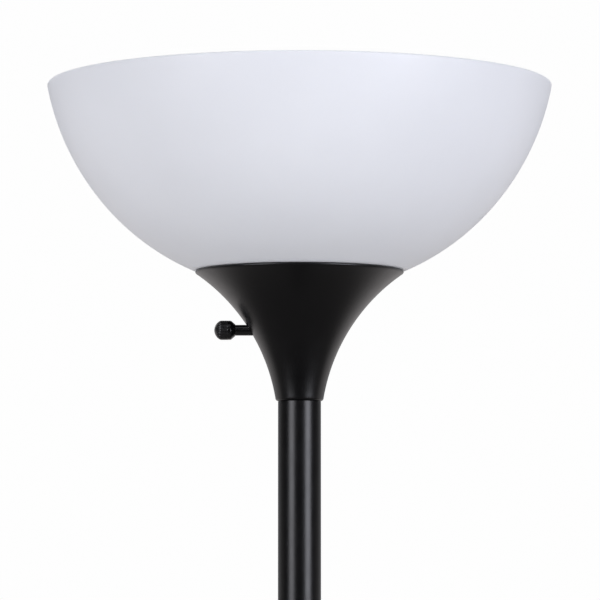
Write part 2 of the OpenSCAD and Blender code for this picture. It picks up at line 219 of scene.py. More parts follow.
def moulded_white():
    """White ABS, injection-moulded in a satin tool: cool white, soft sheen, lets light sink in a little.

    The tool's grain is about 0.6 mm.
    """
    shell = Finish("abs_white_moulded_satin", Specular_IOR_Level=0.4, Subsurface_Weight=0.1,
                   Subsurface_Scale=3 * MM, Subsurface_Radius=(1.0, 0.95, 0.9))
    return shell.dress((shell.clouds(60 * MM, detail=2.0), "#eceef1", "#eff1f4"),
                       shell.clouds(12 * MM, 0.40, 0.47),
                       (shell.clouds(0.6 * MM, detail=2.0), 0.006 * MM))


def moulded_ring_white():
    """White polypropylene of the clamp ring, moulded: warmer and duller than the bowl."""
    ring = Finish("polypropylene_white_moulded", Specular_IOR_Level=0.4)
    return ring.dress((ring.clouds(15 * MM), "#dcdcd8", "#e4e4e1"), ring.clouds(5 * MM, 0.48, 0.58),
                      (ring.clouds(0.5 * MM), 0.01 * MM))


def gloss_black_plastic():
    """Black ABS moulded in a polished tool, spark-eroded on the grip: gloss, and satin on the grip."""
    knob = Finish("abs_black_moulded_gloss", Specular_IOR_Level=0.7, Coat_Weight=0.4, Coat_Roughness=0.12)
    reach = knob.add("ShaderNodeSeparateXYZ", {"Vector": knob.place}).outputs["X"]
    grip = knob.add("ShaderNodeMapRange", {
        "Value": reach, "From Min": -COLLAR_X, "From Max": -COLLAR_X - 0.4 * MM})
    rough = knob.add("ShaderNodeMix", {
        "Factor": grip, 2: knob.clouds(3 * MM, 0.14, 0.2), 3: knob.clouds(2 * MM, 0.36, 0.42)})
    return knob.dress((knob.clouds(8 * MM), "#050506", "#0a0a0b"), rough,
                      (knob.clouds(2 * MM, detail=1.0), 0.003 * MM))


def grained_black_nylon():
    """Black nylon bushing, moulded: dull, with a fine spark-eroded grain."""
    nylon = Finish("nylon_black_moulded_grained", Specular_IOR_Level=0.4)
    return nylon.dress((nylon.clouds(4 * MM), "#101011", "#171718"), nylon.clouds(2 * MM, 0.45, 0.6),
                       (nylon.clouds(0.25 * MM), 0.015 * MM))


def zinc_plated_steel():
    """Steel fasteners, bright zinc plate: cool metal, faintly clouded, with turned marks."""
    zinc = Finish("steel_zinc_plated_turned", Metallic=1.0)
    return zinc.dress((zinc.clouds(5 * MM), "#a9adb2", "#c3c7cc"), zinc.clouds(3 * MM, 0.26, 0.42),
                      (zinc.clouds(0.3 * MM, stretch=(0.2, 0.2, 1)), 0.008 * MM))


def bright_brass():
    """Yellow brass, pressed and tumbled: warm, slightly tarnished in clouds."""
    brass = Finish("brass_pressed_bright", Metallic=1.0)
    return brass.dress((brass.clouds(6 * MM), "#a98643", "#cfae63"), brass.clouds(2 * MM, 0.22, 0.38),
                       (brass.clouds(0.4 * MM), 0.006 * MM))


def nickel_plated_cap():
    """Brass cap, nickel-plated and rolled: soft silver, a little warm."""
    nickel = Finish("nickel_plated_rolled", Metallic=1.0)
    return nickel.dress((nickel.clouds(7 * MM), "#b9b7b1", "#cecdc9"), nickel.clouds(2 * MM, 0.2, 0.34),
                        (nickel.clouds(0.35 * MM), 0.006 * MM))


def phenolic():
    """Black phenolic, compression-moulded: brown-black with wood-flour flecks."""
    resin = Finish("phenolic_black_moulded", Specular_IOR_Level=0.5)
    fleck = resin.clouds(0.7 * MM, detail=4.0)
    return resin.dress((fleck, "#14100e", "#241d19"), resin.clouds(3 * MM, 0.3, 0.42), (fleck, 0.006 * MM))


def vulcanised_fibre():
    """Grey-tan insulating fibre, punched from sheet: dull, with short fibres in its face."""
    plate = Finish("vulcanised_fibre_punched", Specular_IOR_Level=0.3)
    fibre = plate.clouds(1.2 * MM, detail=5.0, stretch=(1, 0.25, 1))
    return plate.dress((fibre, "#9c8a6f", "#c2b294"), plate.clouds(2 * MM, 0.7, 0.85), (fibre, 0.03 * MM))


def cast_cement():
    """Grey cement cast in the cover: sandy face with pores up to 2 mm."""
    cement = Finish("cement_cast_grey", Specular_IOR_Level=0.25)
    sand = cement.clouds(2.5 * MM, detail=8.0)
    pores = cement.add("ShaderNodeTexVoronoi", {"Vector": cement.place, "Scale": 1 / (5 * MM)})
    pits = cement.add("ShaderNodeMapRange", {"Value": pores, "From Max": 0.25})
    return cement.dress((sand, "#7d7a74", "#a19d95"), cement.clouds(8 * MM, 0.82, 0.95),
                        (pits, 0.5 * MM), (sand, 0.15 * MM))


def foam_pad():
    """Black EVA foam, cut from sheet: matt, with closed cells of 0.4 mm drawn at 0.7 mm to show."""
    foam = Finish("eva_foam_cut_black", Specular_IOR_Level=0.2)
    cells = foam.add("ShaderNodeTexVoronoi", {"Vector": foam.place, "Scale": 1 / (0.7 * MM)})
    return foam.dress((cells, "#141416", "#232327"), foam.clouds(5 * MM, 0.85, 0.95), (cells, 0.12 * MM))


def pvc_sheath(name, dark, light):
    """PVC wire insulation, extruded: even colour, soft gloss along the wire."""
    sheath = Finish(name, Specular_IOR_Level=0.45)
    return sheath.dress((sheath.clouds(20 * MM), dark, light), sheath.clouds(6 * MM, 0.36, 0.48),
                        (sheath.clouds(1 * MM, stretch=(1, 1, 0.1)), 0.01 * MM))


def acetal():
    """Natural acetal, moulded: milky white and slippery."""
    cam = Finish("acetal_natural_moulded", Subsurface_Weight=0.2, Subsurface_Scale=1 * MM)
    return cam.dress((cam.clouds(4 * MM), "#d9d3c5", "#e9e4d8"), cam.clouds(2 * MM, 0.35, 0.45),
                     (cam.clouds(0.4 * MM), 0.006 * MM))


def cap_glass():
    """Black glass fused into the bulb's cap: hard gloss with a slight ripple."""
    glass = Finish("glass_black_fused", IOR=1.52)
    return glass.dress((glass.clouds(3 * MM), "#040405", "#0a0a0c"), glass.clouds(2 * MM, 0.05, 0.1),
                       (glass.clouds(2 * MM, detail=1.0), 0.02 * MM))


def bulb_plastic():
    """White PBT of the bulb's housing, moulded: clean white, satin."""
    pbt = Finish("pbt_white_moulded", Specular_IOR_Level=0.45)
    return pbt.dress((pbt.clouds(12 * MM), "#e8e8e5", "#efefed"), pbt.clouds(4 * MM, 0.32, 0.4),
                     (pbt.clouds(0.5 * MM), 0.006 * MM))


def opal_globe():
    """Opal polycarbonate, blow-moulded and frosted: warm white that lets light sink in."""
    opal = Finish("polycarbonate_opal_frosted", Specular_IOR_Level=0.4, Subsurface_Weight=0.35,
                  Subsurface_Scale=4 * MM, Subsurface_Radius=(1.0, 0.9, 0.75))
    return opal.dress((opal.clouds(18 * MM), "#eeece3", "#f5f3ec"), opal.clouds(6 * MM, 0.45, 0.55),
                      (opal.clouds(0.3 * MM), 0.008 * MM))


def led_board():
    """Aluminium board with white solder mask, etched; its chips stand proud and have yellow phosphor."""
    board = Finish("led_board_solder_mask_white", Specular_IOR_Level=0.4)
    height = board.add("ShaderNodeSeparateXYZ", {"Vector": board.place}).outputs["Z"]
    board_top = high("bulb_led_plate").z - 0.3 * MM
    chip = board.add("ShaderNodeMath", {0: height, 1: board_top}, operation="GREATER_THAN")
    mask = board.add("ShaderNodeMix", {
        "Factor": board.clouds(6 * MM), 6: linear("#e9e9e6"), 7: linear("#f2f2f0")}, data_type="RGBA")
    return board.dress((chip, mask, "#e3c04a"), board.clouds(3 * MM, 0.3, 0.45),
                       (board.clouds(0.5 * MM), 0.01 * MM))


FINISHES = {
    "black_powder_coat": powder_coat(),
    "foam_pad": foam_pad(),
    "cement": cast_cement(),
    "zinc_steel": zinc_plated_steel(),
    "black_nylon": grained_black_nylon(),
    "white_shade_plastic": moulded_white(),
    "white_ring_plastic": moulded_ring_white(),
    "yellow_brass": bright_brass(),
    "black_phenolic": phenolic(),
    "fibre_plate": vulcanised_fibre(),
    "brown_lead": pvc_sheath("pvc_brown_extruded", "#2e2318", "#3a2d20"),
    "black_wire": pvc_sheath("pvc_black_extruded", "#101011", "#18181a"),
    "white_wire": pvc_sheath("pvc_white_extruded", "#d0d0cb", "#dcdcd8"),
    "black_knob_plastic": gloss_black_plastic(),
    "cam_acetal": acetal(),
    "nickel_plate": nickel_plated_cap(),
    "black_glass": cap_glass(),
    "white_bulb_plastic": bulb_plastic(),
    "led_board": led_board(),
    "opal_globe": opal_globe(),
}
SLOT_OF = {part["node"]: part["material_slot"] for part in frame["record"]["subparts"]}

for node_name, obj in frame["nodes"].items():
    obj.data.materials.clear()
    obj.data.materials.append(FINISHES[SLOT_OF[node_name]])


# ---------------------------------------------------------------- geometry nodes

def new_tree(name, **inputs):
    """A geometry tree with named inputs; returns it with its input node and socket names."""
    tree = bpy.data.node_groups.new(name, "GeometryNodeTree")
    tree.interface.new_socket(name="Geometry", in_out="INPUT", socket_type="NodeSocketGeometry")
    for label, kind in inputs.items():
        tree.interface.new_socket(name=label.replace("_", " "), in_out="INPUT",
                                  socket_type="NodeSocket" + kind)
    tree.interface.new_socket(name="Geometry", in_out="OUTPUT", socket_type="NodeSocketGeometry")
    return tree, tree.nodes.new("NodeGroupInput").outputs


def close_tree(tree, geometry, finish):
    """Ends a tree: real geometry, its material, and the group's output."""
    real = add(tree, "GeometryNodeRealizeInstances", {"Geometry": geometry})
    done = add(tree, "GeometryNodeSetMaterial", {"Geometry": real, "Material": finish})
    add(tree, "NodeGroupOutput", {"Geometry": done})
    return tree


def turning_tree():
    """Turns an outline of points (x is the radius, z the height) into a round part."""
    tree, given = new_tree("turned_part", Segments="Int", Finish="Material")
    size = add(tree, "GeometryNodeAttributeDomainSize", {"Geometry": given["Geometry"]})
    rows = size.outputs["Point Count"]
    columns = add(tree, "ShaderNodeMath", {0: given["Segments"], 1: 1}, operation="ADD")
    grid = add(tree, "GeometryNodeMeshGrid", {"Vertices X": columns, "Vertices Y": rows})
    # The grid's points run row by row within a column
    index = add(tree, "GeometryNodeInputIndex")
    half_on = add(tree, "ShaderNodeMath", {0: index, 1: 0.5}, operation="ADD")
    share = add(tree, "ShaderNodeMath", {0: half_on, 1: rows}, operation="DIVIDE")
    column = add(tree, "ShaderNodeMath", {0: share}, operation="FLOOR")
    passed = add(tree, "ShaderNodeMath", {0: column, 1: rows}, operation="MULTIPLY")
    row = add(tree, "ShaderNodeMath", {0: index, 1: passed}, operation="SUBTRACT")
    point = add(tree, "GeometryNodeSampleIndex", {
        "Geometry": given["Geometry"], "Value": add(tree, "GeometryNodeInputPosition"), "Index": row,
    }, data_type="FLOAT_VECTOR")
    part_turn = add(tree, "ShaderNodeMath", {0: column, 1: given["Segments"]}, operation="DIVIDE")
    angle = add(tree, "ShaderNodeMath", {0: part_turn, 1: 2 * math.pi}, operation="MULTIPLY")
    swung = add(tree, "ShaderNodeVectorRotate", {"Vector": point, "Angle": angle}, rotation_type="Z_AXIS")
    shape = add(tree, "GeometryNodeSetPosition", {"Geometry": grid, "Position": swung})
    merged = add(tree, "GeometryNodeMergeByDistance", {"Geometry": shape, "Distance": SAME_POINT})
    return close_tree(tree, merged, given["Finish"])


def window(tree, given, height):
    """1 between the heights From and To, falling smoothly to 0 over the fade at each end."""
    full = add(tree, "ShaderNodeMath", {0: given["From"], 1: given["Fade"]}, operation="ADD")
    rise = add(tree, "ShaderNodeMapRange", {
        "Value": height, "From Min": given["From"], "From Max": full}, interpolation_type="SMOOTHSTEP")
    last = add(tree, "ShaderNodeMath", {0: given["To"], 1: given["Fade"]}, operation="SUBTRACT")
    fall = add(tree, "ShaderNodeMapRange", {
        "Value": height, "From Min": last, "From Max": given["To"], "To Min": 1.0, "To Max": 0.0,
    }, interpolation_type="SMOOTHSTEP")
    return add(tree, "ShaderNodeMath", {0: rise, 1: fall}, operation="MULTIPLY")


def push_out(tree, geometry, amount):
    """Moves every point outwards from the z axis by an amount."""
    spot = add(tree, "GeometryNodeInputPosition")
    flat = add(tree, "ShaderNodeVectorMath", {0: spot, 1: (1, 1, 0)}, operation="MULTIPLY")
    away = add(tree, "ShaderNodeVectorMath", {0: flat}, operation="NORMALIZE")
    shift = add(tree, "ShaderNodeVectorMath", {0: away, "Scale": amount}, operation="SCALE")
    return add(tree, "GeometryNodeSetPosition", {"Geometry": geometry, "Offset": shift})


def fluting_tree():
    """Cuts a count of round grooves along a turned grip, outside an inner radius."""
    tree, given = new_tree("fluted_grip", Count="Int", Depth="Float", From="Float", To="Float",
                           Fade="Float", Inner_Radius="Float", Finish="Material")
    spot = add(tree, "GeometryNodeInputPosition")
    place = add(tree, "ShaderNodeSeparateXYZ", {"Vector": spot}).outputs
    turn = add(tree, "ShaderNodeMath", {0: place["Y"], 1: place["X"]}, operation="ARCTAN2")
    around = add(tree, "ShaderNodeMath", {0: turn, 1: given["Count"]}, operation="MULTIPLY")
    wave = add(tree, "ShaderNodeMath", {0: around}, operation="COSINE")
    # Only the crests of the wave cut, and the power rounds where a groove starts
    crest = add(tree, "ShaderNodeMath", {0: wave, 1: 0.0}, operation="MAXIMUM")
    groove = add(tree, "ShaderNodeMath", {0: crest, 1: 1.4}, operation="POWER")
    flat = add(tree, "ShaderNodeVectorMath", {0: spot, 1: (1, 1, 0)}, operation="MULTIPLY")
    radius = add(tree, "ShaderNodeVectorMath", {0: flat}, operation="LENGTH")
    outside = add(tree, "ShaderNodeMath", {0: radius, 1: given["Inner Radius"]}, operation="GREATER_THAN")
    span = window(tree, given, place["Z"])
    spanned = add(tree, "ShaderNodeMath", {0: groove, 1: span}, operation="MULTIPLY")
    cut = add(tree, "ShaderNodeMath", {0: spanned, 1: outside}, operation="MULTIPLY")
    depth = add(tree, "ShaderNodeMath", {0: cut, 1: given["Depth"]}, operation="MULTIPLY")
    inwards = add(tree, "ShaderNodeMath", {0: depth, 1: -1.0}, operation="MULTIPLY")
    return close_tree(tree, push_out(tree, given["Geometry"], inwards), given["Finish"])


def thread_tree():
    """Rolls a right-hand thread of a pitch and depth into a turned part between two heights."""
    tree, given = new_tree("rolled_thread", Pitch="Float", Depth="Float", From="Float", To="Float",
                           Fade="Float", Finish="Material")
    spot = add(tree, "GeometryNodeInputPosition")
    place = add(tree, "ShaderNodeSeparateXYZ", {"Vector": spot}).outputs
    turn = add(tree, "ShaderNodeMath", {0: place["Y"], 1: place["X"]}, operation="ARCTAN2")
    turns = add(tree, "ShaderNodeMath", {0: place["Z"], 1: given["Pitch"]}, operation="DIVIDE")
    climb = add(tree, "ShaderNodeMath", {0: turns, 1: 2 * math.pi}, operation="MULTIPLY")
    phase = add(tree, "ShaderNodeMath", {0: climb, 1: turn}, operation="SUBTRACT")
    wave = add(tree, "ShaderNodeMath", {0: phase}, operation="COSINE")
    below = add(tree, "ShaderNodeMath", {0: wave, 1: 1.0}, operation="SUBTRACT")
    dip = add(tree, "ShaderNodeMath", {0: below, 1: 0.5}, operation="MULTIPLY")
    span = window(tree, given, place["Z"])
    spanned = add(tree, "ShaderNodeMath", {0: dip, 1: span}, operation="MULTIPLY")
    depth = add(tree, "ShaderNodeMath", {0: spanned, 1: given["Depth"]}, operation="MULTIPLY")
    return close_tree(tree, push_out(tree, given["Geometry"], depth), given["Finish"])


TURNING = turning_tree()
FLUTING = fluting_tree()
THREAD = thread_tree()


def run_tree(obj, tree, **values):
    """Adds a tree as a modifier with its inputs set by identifier."""
    mod = obj.modifiers.new(tree.name, "NODES")
    mod.node_group = tree
    for item in tree.interface.items_tree:
        label = item.name.replace(" ", "_")
        if item.in_out == "INPUT" and label in values:
            mod[item.identifier] = values[label]


# ---------------------------------------------------------------- turned parts

def arc(centre, radius, start, end, steps=8):
    """Points on an arc in the outline's plane; angles in degrees, from the radius axis."""
    return [(centre[0] + radius * math.cos(math.radians(start + (end - start) * i / steps)),
             centre[1] + radius * math.sin(math.radians(start + (end - start) * i / steps)))
            for i in range(steps + 1)]


def line(start, end, steps):
    """Points on a straight stretch, both ends included."""
    return [(start[0] + (end[0] - start[0]) * i / steps, start[1] + (end[1] - start[1]) * i / steps)
            for i in range(steps + 1)]


def plain_mesh(obj, name, turn_to=None):
    """The evaluated object as a clean plain mesh: no doubles, faces outwards, hard edges kept."""
    bpy.context.view_layer.update()
    evaluated = obj.evaluated_get(bpy.context.evaluated_depsgraph_get())
    mesh = bpy.data.meshes.new_from_object(evaluated)
    bpy.data.objects.remove(obj)
    work = bmesh.new()
    work.from_mesh(mesh)
    bmesh.ops.dissolve_degenerate(work, dist=1e-7, edges=work.edges)
    bmesh.ops.delete(work, geom=[e for e in work.edges if not e.link_faces], context="EDGES")
    bmesh.ops.delete(work, geom=[v for v in work.verts if not v.link_faces], context="VERTS")
    bmesh.ops.recalc_face_normals(work, faces=work.faces)
    for face in work.faces:
        face.smooth = True
    for edge in work.edges:
        edge.smooth = len(edge.link_faces) == 2 and edge.calc_face_angle(0) < math.radians(HARD_EDGE_DEG)
    if turn_to is not None:
        work.transform(turn_to)
    work.to_mesh(mesh)
    work.free()
    mesh.name = name
    piece = bpy.data.objects.new(name, mesh)
    bpy.context.scene.collection.objects.link(piece)
    return piece


def raw_turning(name, outline, finish, segments):
    """The live object that turns an outline, before it is made a plain mesh."""
    mesh = bpy.data.meshes.new(name + "_outline")
    mesh.from_pydata([(r, 0, z) for r, z in outline], [], [])
    obj = bpy.data.objects.new(name + "_live", mesh)
    bpy.context.scene.collection.objects.link(obj)
    run_tree(obj, TURNING, Segments=segments, Finish=finish)
    return obj


def settle(piece, body, nodes):
    """Puts a finished piece on its body in place of its CAD nodes."""
    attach(piece, body)
    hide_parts(*nodes)
    return piece


def turned(node, outline, body="lamp", segments=128, flutes=None, thread=None, turn_to=None, closed=True):
    """A turned piece in place of a CAD node; an outline that doesn't end on the axis is closed."""
    finish = FINISHES[SLOT_OF[node]]
    points = list(outline) + ([outline[0]] if closed else [])
    obj = raw_turning(node, points, finish, segments)
    if flutes:
        run_tree(obj, FLUTING, Finish=finish, **flutes)
    if thread:
        run_tree(obj, THREAD, Finish=finish, **thread)
    return settle(plain_mesh(obj, node + "_skin", turn_to), body, [node])


# Matrices that lay a part turned about z along the knob's or the gland's axis
TO_KNOB = Matrix(((0, 0, -1, 0), (0, 1, 0, 0), (1, 0, 0, KNOB_Z), (0, 0, 0, 1)))
GLAND_Z = (low("cord_gland").z + high("cord_gland").z) / 2
TO_GLAND = Matrix(((1, 0, 0, 0), (0, 0, 1, 0), (0, -1, 0, GLAND_Z), (0, 0, 0, 1)))


def bowl():
    """Upper part of a sphere, a flatter lower arc, a flat bottom and a softened rim."""
    mid = RIM_Z + BOWL_RIM_DROP
    turn = math.radians(BOWL_LOW_ANGLE)
    low_at = ((BOWL_R - BOWL_LOW_R) * math.cos(turn), mid + (BOWL_R - BOWL_LOW_R) * math.sin(turn))
    blend_z = BOWL_Z + BOWL_BLEND
    reach = BOWL_LOW_R - BOWL_BLEND
    blend_at = (low_at[0] + math.sqrt(reach ** 2 - (low_at[1] - blend_z) ** 2), blend_z)
    tangent = math.degrees(math.atan2(blend_z - low_at[1], blend_at[0] - low_at[0]))
    # The rim's outer edge is rounded over most of the wall, its inner edge only a little
    outer_lip = 1.5 * MM
    inner_lip = BOWL_WALL - outer_lip
    rim = math.degrees(math.asin((RIM_Z - outer_lip - mid) / (BOWL_R - outer_lip)))
    inner = BOWL_R - BOWL_WALL
    inner_rim = math.degrees(math.asin((RIM_Z - inner_lip - mid) / (inner + inner_lip)))
    outer_at = arc((0, mid), BOWL_R - outer_lip, rim, rim, 1)[0]
    inner_at = arc((0, mid), inner + inner_lip, inner_rim, inner_rim, 1)[0]
    bottom = line((BOWL_HOLE_R + 2 * MM, BOWL_Z), (blend_at[0] - 1 * MM, BOWL_Z), 6)
    outline = [(BOWL_HOLE_R + 0.3 * MM, BOWL_Z)] + bottom
    outline += arc(blend_at, BOWL_BLEND, -90, tangent, 8)
    outline += arc(low_at, BOWL_LOW_R, tangent, BOWL_LOW_ANGLE, 30)[1:]
    outline += arc((0, mid), BOWL_R, BOWL_LOW_ANGLE, rim, 40)[1:]
    outline += arc(outer_at, outer_lip, rim, 90, 10)[1:]
    outline += arc(inner_at, inner_lip, 90, 180 + inner_rim, 5)
    outline += arc((0, mid), inner, inner_rim, BOWL_LOW_ANGLE, 40)[1:]
    outline += arc(low_at, BOWL_LOW_R - BOWL_WALL, BOWL_LOW_ANGLE, tangent, 30)[1:]
    outline += arc(blend_at, BOWL_BLEND - BOWL_WALL, tangent, -90, 8)[1:]
    outline += [(r, z + BOWL_WALL) for r, z in reversed(bottom)]
    outline += [(BOWL_HOLE_R + 0.3 * MM, BOWL_Z + BOWL_WALL), (BOWL_HOLE_R, BOWL_Z + BOWL_WALL - 0.3 * MM),
                (BOWL_HOLE_R, BOWL_Z + 0.3 * MM)]
    return turned("shade", outline, segments=320)


def drill(obj, radius, start, end):
    """Cuts a round hole along -X at knob height through a live object."""
    cutter_mesh = bpy.data.meshes.new("drill")
    work = bmesh.new()
    place = TO_KNOB @ Matrix.Translation((0, 0, (start + end) / 2))
    bmesh.ops.create_cone(work, cap_ends=True, segments=48, radius1=radius, radius2=radius,
                          depth=end - start, matrix=place)
    work.to_mesh(cutter_mesh)
    work.free()
    cutter = bpy.data.objects.new("drill", cutter_mesh)
    bpy.context.scene.collection.objects.link(cutter)
    cut = obj.modifiers.new("stem_hole", "BOOLEAN")
    cut.operation = "DIFFERENCE"
    cut.solver = "EXACT"
    cut.object = cutter
    return cutter


def cup():
    """Spun steel cup: rounded foot, concave flare and a rim curled into a bead under the bowl."""
    bead_at = (CUP_RIM_R - CUP_BEAD_R, CUP_TOP - CUP_BEAD_R)
    foot = 1.6 * MM
    # The flare's arc starts at the foot's outer point and ends tangent to the bead
    across, up = bead_at[0] - CUP_FOOT_R, bead_at[1] - CUP_Z
    chord = math.hypot(across, up)
    slope = math.atan2(up, across)
    along = (chord ** 2 + FLARE_R ** 2 - (FLARE_R + CUP_BEAD_R) ** 2) / (2 * chord)
    off = math.sqrt(FLARE_R ** 2 - along ** 2)
    centre = (CUP_FOOT_R + along * math.cos(slope) + off * math.sin(slope),
              CUP_Z + along * math.sin(slope) - off * math.cos(slope))

    def flare_angle(z, radius):
        return 180 - math.degrees(math.asin((z - centre[1]) / radius))

    # The foot's round touches the flare from inside
    foot_z = CUP_Z + foot
    foot_angle = flare_angle(foot_z, FLARE_R + foot)
    foot_at = arc(centre, FLARE_R + foot, foot_angle, foot_angle, 1)[0]
    bead_angle = math.degrees(math.atan2(bead_at[1] - centre[1], bead_at[0] - centre[0]))
    inner = FLARE_R + CUP_WALL
    floor_top = CUP_Z + 1 * MM
    outline = [(CUP_HOLE_R, CUP_Z), (foot_at[0] - 3 * MM, CUP_Z)]
    outline += arc(foot_at, foot, -90, foot_angle - 180, 10)
    outline += arc(centre, FLARE_R, foot_angle, bead_angle, 72)[1:]
    outline += arc(bead_at, CUP_BEAD_R, bead_angle - 180, 180, 20)[1:]
    outline += arc(centre, inner, bead_angle + 0.6, flare_angle(floor_top + 1.5 * MM, inner), 72)
    outline += [(foot_at[0] - 2 * MM, floor_top), (CUP_HOLE_R, floor_top)]
    finish = FINISHES[SLOT_OF["cup"]]
    obj = raw_turning("cup", outline + [outline[0]], finish, 256)
    cutter = drill(obj, STEM_HOLE_R, 20 * MM, 40 * MM)
    piece = plain_mesh(obj, "cup_skin")
    bpy.data.objects.remove(cutter)
    return settle(piece, "lamp", ["cup"])


def rounded_tube(outer, inner, z0, z1, edge):
    """Outline of a tube whose outer edges are rounded."""
    burr = 0.1 * MM
    outline = arc((outer - edge, z0 + edge), edge, -90, 0, 5)
    outline += line((outer, z0 + 2 * edge), (outer, z1 - 2 * edge), 8)
    outline += arc((outer - edge, z1 - edge), edge, 0, 90, 5)
    outline += [(inner + burr, z1), (inner, z1 - burr), (inner, z0 + burr), (inner + burr, z0)]
    return outline


def poles():
    """Pole sections with softened tube ends, and the washer that they stand on."""
    for i in range(1, SECTIONS + 1):
        node = f"pole_section_{i}"
        lo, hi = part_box(node)
        turned(node, rounded_tube(hi.x, hi.x - TUBE_WALL, lo.z, hi.z, 0.45 * MM), segments=128)
    lo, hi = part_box("seat_washer")
    turned("seat_washer", rounded_tube(hi.x, 5.2 * MM, lo.z, hi.z, 0.3 * MM))


def base():
    """Pressed cover: low dome, round shoulder, straight skirt with a folded edge."""
    sheet = 1 * MM
    skirt = low("base_cover").z
    dome = 800 * MM
    shoulder = 8 * MM
    dome_z = BASE_TOP - dome
    shoulder_x = BASE_R - shoulder
    shoulder_z = dome_z + math.sqrt((dome - shoulder) ** 2 - shoulder_x ** 2)
    meet = math.degrees(math.atan2(shoulder_z - dome_z, shoulder_x))
    hole = math.degrees(math.acos(5.3 * MM / dome))
    outline = arc((0, dome_z), dome, hole, meet, 40)
    outline += arc((shoulder_x, shoulder_z), shoulder, meet, 0, 16)[1:]
    outline += line((BASE_R, shoulder_z - 1 * MM), (BASE_R, skirt + sheet), 6)
    outline += arc((BASE_R - sheet / 2, skirt + sheet / 2), sheet / 2, 0, -180, 8)
    outline += arc((shoulder_x, shoulder_z), shoulder - sheet, 0, meet, 16)
    outline += arc((0, dome_z), dome - sheet, meet, hole, 40)[1:]
    turned("base_cover", outline, segments=320)
    lo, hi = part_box("base_pad")
    turned("base_pad", rounded_tube(hi.x, 22 * MM, lo.z, hi.z, 0.6 * MM), segments=192)


def gland():
    """Moulded bushing: rounded flange outside, snap collar inside the skirt."""
    lo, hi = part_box("cord_gland")
    flange = hi.x
    bore = 3.2 * MM
    barrel = 4.5 * MM
    outline = arc((bore + 0.6 * MM, hi.y - 0.6 * MM), 0.6 * MM, 180, 90, 5)
    outline += arc((flange - 0.7 * MM, hi.y - 0.7 * MM), 0.7 * MM, 90, 0, 5)
    outline += [(flange, hi.y - 1.3 * MM), (flange - 0.2 * MM, hi.y - 1.5 * MM), (barrel, hi.y - 1.5 * MM)]
    outline += [(barrel, hi.y - 3.2 * MM), (5.3 * MM, hi.y - 3.2 * MM), (5.4 * MM, hi.y - 3.4 * MM)]
    outline += [(4.9 * MM, hi.y - 5.2 * MM), (barrel, hi.y - 5.2 * MM)]
    outline += [(barrel, lo.y + 0.4 * MM), (barrel - 0.4 * MM, lo.y)]
    outline += [(bore + 0.3 * MM, lo.y), (bore, lo.y + 0.3 * MM)]
    turned("cord_gland", outline, segments=96, turn_to=TO_GLAND)


def switch_knob():
    """Moulded knob: domed tip, fluted grip, smooth collar and a cone down to the stem."""
    dome_r = 6.2 * MM
    dome_at = KNOB_TIP - dome_r
    grip_end = dome_at + math.sqrt(dome_r ** 2 - KNOB_R ** 2)
    cone = KNOB_TIP - 9.8 * MM
    back = KNOB_TIP - 12.4 * MM
    socket_end = back + 3.4 * MM
    snug = STEM_R + 0.05 * MM
    mouth = STEM_R + 0.35 * MM
    start = math.degrees(math.acos(KNOB_R / dome_r))
    soften = 0.6 * MM
    outline = [(0, socket_end), (snug, socket_end), (snug, back + 0.2 * MM)]
    outline += arc((snug + 0.15 * MM, back + 0.15 * MM), 0.15 * MM, 180, 270, 3)
    outline += line((mouth, back + 0.05 * MM), (KNOB_R - 0.25 * MM, cone - 0.35 * MM), 6)
    outline += arc((KNOB_R - soften, cone + 0.25 * MM), soften, -45, 0, 4)
    outline += line((KNOB_R, cone + soften), (KNOB_R, grip_end - 0.3 * MM), 30)
    outline += arc((0, dome_at), dome_r, start + 2, 90, 26)
    turned("knob", outline, "switch_rotor", 400, turn_to=TO_KNOB, closed=False,
           flutes=dict(Count=20, Depth=0.2 * MM, From=COLLAR_X, To=KNOB_TIP - 1.2 * MM, Fade=0.6 * MM,
                       Inner_Radius=3.6 * MM))
    lo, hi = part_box("knob_stem")
    turned("knob_stem", rounded_tube(STEM_R, 1.55 * MM, -hi.x, -lo.x, 0.25 * MM), "switch_rotor", 96,
           turn_to=TO_KNOB)


def clamp_ring():
    """Moulded ring on the socket's thread, with finger grips round its upper edge."""
    lo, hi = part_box("shade_ring")
    outer = hi.x
    bore = 17.6 * MM
    outline = arc((outer - 0.4 * MM, lo.z + 0.4 * MM), 0.4 * MM, -90, 0, 4)
    outline += line((outer, lo.z + 1 * MM), (outer, hi.z - 1.2 * MM), 14)
    outline += arc((outer - 0.9 * MM, hi.z - 0.9 * MM), 0.9 * MM, 0, 90, 6)
    outline += [(bore + 0.5 * MM, hi.z), (bore, hi.z - 0.5 * MM)]
    outline += [(bore, lo.z + 0.3 * MM), (bore + 0.3 * MM, lo.z)]
    turned("shade_ring", outline, segments=384,
           flutes=dict(Count=24, Depth=1.1 * MM, From=lo.z + 1.3 * MM, To=hi.z + 2 * MM, Fade=0.5 * MM,
                       Inner_Radius=outer - 3.2 * MM))


def screw_shell():
    """Brass screw shell of the socket, with the rolled thread that the bulb follows."""
    lo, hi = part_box("socket_shell")
    outer = hi.x
    wall = 0.4 * MM
    rows = 80
    outline = [(8.5 * MM, lo.z), (outer - 0.4 * MM, lo.z)]
    outline += line((outer, lo.z + 0.6 * MM), (outer, hi.z), rows)
    outline += line((outer - wall, hi.z), (outer - wall, lo.z + 0.8 * MM), rows)
    outline += [(outer - wall - 0.3 * MM, lo.z + 0.5 * MM), (8.5 * MM, lo.z + 0.5 * MM)]
    turned("socket_shell", outline, segments=96,
           thread=dict(Pitch=THREAD_PITCH, Depth=0.35 * MM, From=lo.z + 2 * MM, To=hi.z + 2 * MM,
                       Fade=2 * MM))


